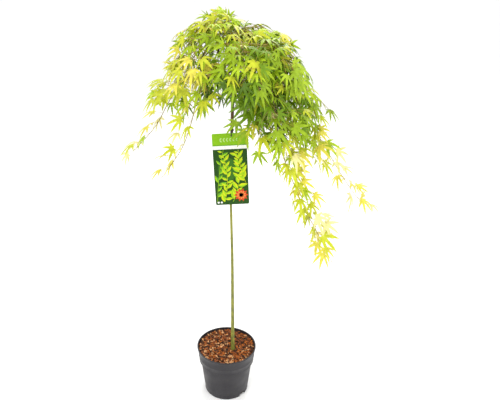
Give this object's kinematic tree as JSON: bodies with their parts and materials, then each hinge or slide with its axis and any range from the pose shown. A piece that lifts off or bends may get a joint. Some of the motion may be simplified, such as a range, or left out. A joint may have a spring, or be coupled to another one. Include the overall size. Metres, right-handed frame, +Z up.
{
  "type": "potted weeping maple",
  "caption": "Small weeping maple on a tall slender trunk, in a dark grey nursery pot filled with bark chips, with a printed plant label tied to the trunk.",
  "frame": {"origin": "centre of the pot's flat underside", "axes": "+Z up through the pot to the crown; -Y is the side the plant label faces; +X is to the right of someone who looks at the label"},
  "size_m": [0.7796, 0.4149, 1.2162],
  "materials": {
    "pot_plastic": "satin dark grey, moulded",
    "soil": "rough moist potting soil",
    "bark_chips": "rough loose bark chips",
    "trunk_bark": "smooth olive bark, dark brown towards the fork",
    "bough_bark": "dark brown bark with a slight gloss",
    "foliage": "matt green to yellow leaves",
    "label_print": "printed card, semi-gloss",
    "tie_plastic": "black flexible plastic"
  },
  "bodies": {
    "root": {"pot": "pot_plastic", "potting_soil": "soil", "bark_mulch": "bark_chips", "trunk": "trunk_bark", "plant_label": "label_print", "label_tie": "tie_plastic", "bough_right": "bough_bark", "bough_right_low": "bough_bark", "bough_front_right": "bough_bark", "bough_front_right_low": "bough_bark", "bough_front": "bough_bark", "bough_front_left": "bough_bark", "bough_front_left_low": "bough_bark", "bough_left": "bough_bark", "bough_left_low": "bough_bark", "bough_back_left": "bough_bark", "bough_back_left_low": "bough_bark", "bough_back_right": "bough_bark", "bough_back_right_low": "bough_bark", "bough_top_left": "bough_bark", "bough_top_right": "bough_bark", "foliage_right": "foliage", "foliage_right_low": "foliage", "foliage_front_right": "foliage", "foliage_front_right_low": "foliage", "foliage_front": "foliage", "foliage_front_left": "foliage", "foliage_front_left_low": "foliage", "foliage_left": "foliage", "foliage_left_low": "foliage", "foliage_back_left": "foliage", "foliage_back_left_low": "foliage", "foliage_back_right": "foliage", "foliage_back_right_low": "foliage", "foliage_top_left": "foliage", "foliage_top_right": "foliage"}
  },
  "joints": []
}
